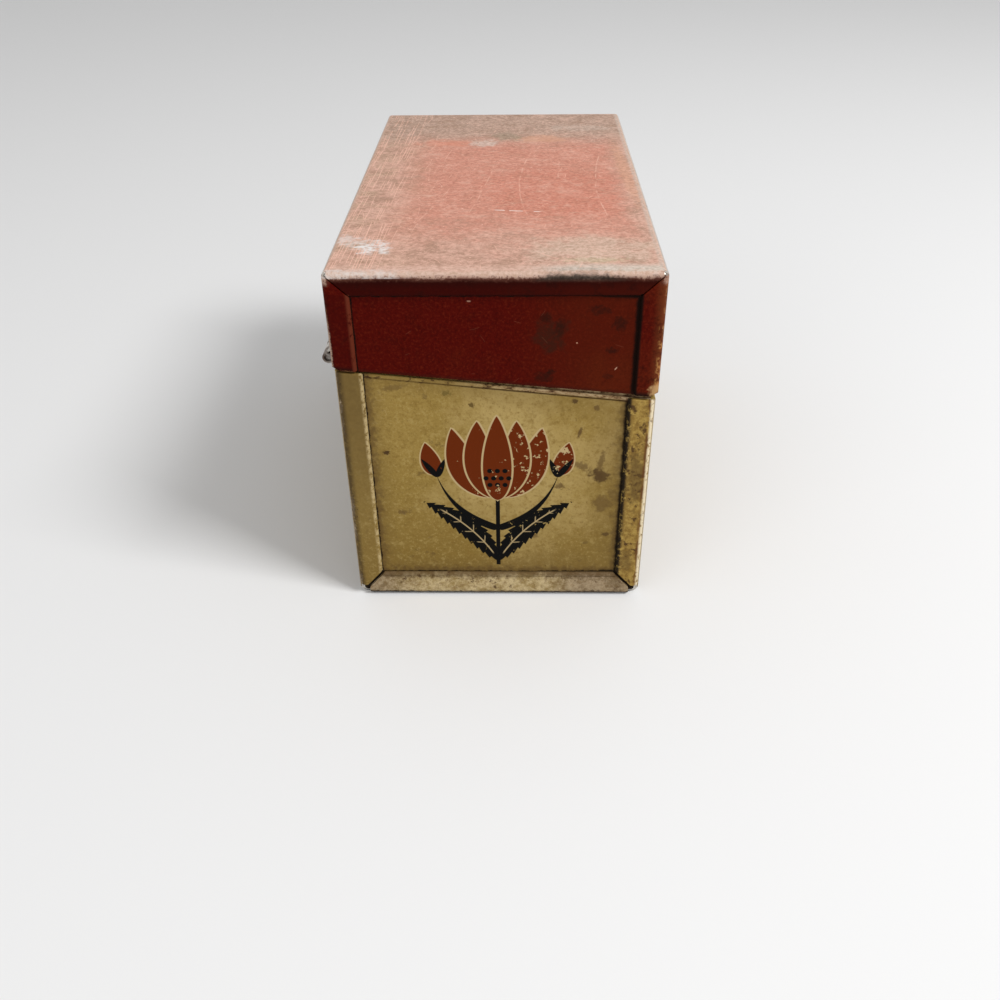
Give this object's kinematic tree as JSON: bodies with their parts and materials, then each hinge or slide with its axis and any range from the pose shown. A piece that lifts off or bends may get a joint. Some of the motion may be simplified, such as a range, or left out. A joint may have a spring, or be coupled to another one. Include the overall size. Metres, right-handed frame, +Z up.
{
  "type": "recipe card box",
  "caption": "Folded tinplate file box for 3 x 5 in cards, with a hinged lid on a sloping seam and bordered end panels.",
  "frame": {"origin": "middle of the flat face under the base, which the box stands on", "axes": "+X from the hinge side to the opening side, +Y along the hinge line, +Z up"},
  "size_m": [0.0796, 0.136, 0.092],
  "materials": {
    "base_enamel": "worn ochre lithographed enamel on tinplate, satin",
    "lid_enamel": "worn rust-red lithographed enamel on tinplate, satin",
    "bare_tinplate": "dull tinplate with light rust",
    "steel_wire": "dark steel wire"
  },
  "bodies": {
    "base": {"base_wrap": "base_enamel", "base_end_near": "base_enamel", "base_end_far": "base_enamel", "base_leaf_near": "bare_tinplate", "base_leaf_far": "bare_tinplate", "hinge_pin_near": "steel_wire", "hinge_pin_far": "steel_wire"},
    "lid": {"lid_wrap": "lid_enamel", "lid_end_near": "lid_enamel", "lid_end_far": "lid_enamel", "lid_leaf_near": "bare_tinplate", "lid_leaf_far": "bare_tinplate"}
  },
  "joints": [
    {"name": "lid_hinge", "type": "hinge", "parent": "base", "child": "lid", "pos_m": [-0.04013, 0, 0.0676], "axis": [0, -1, 0], "range_deg": [0, 188]}
  ]
}
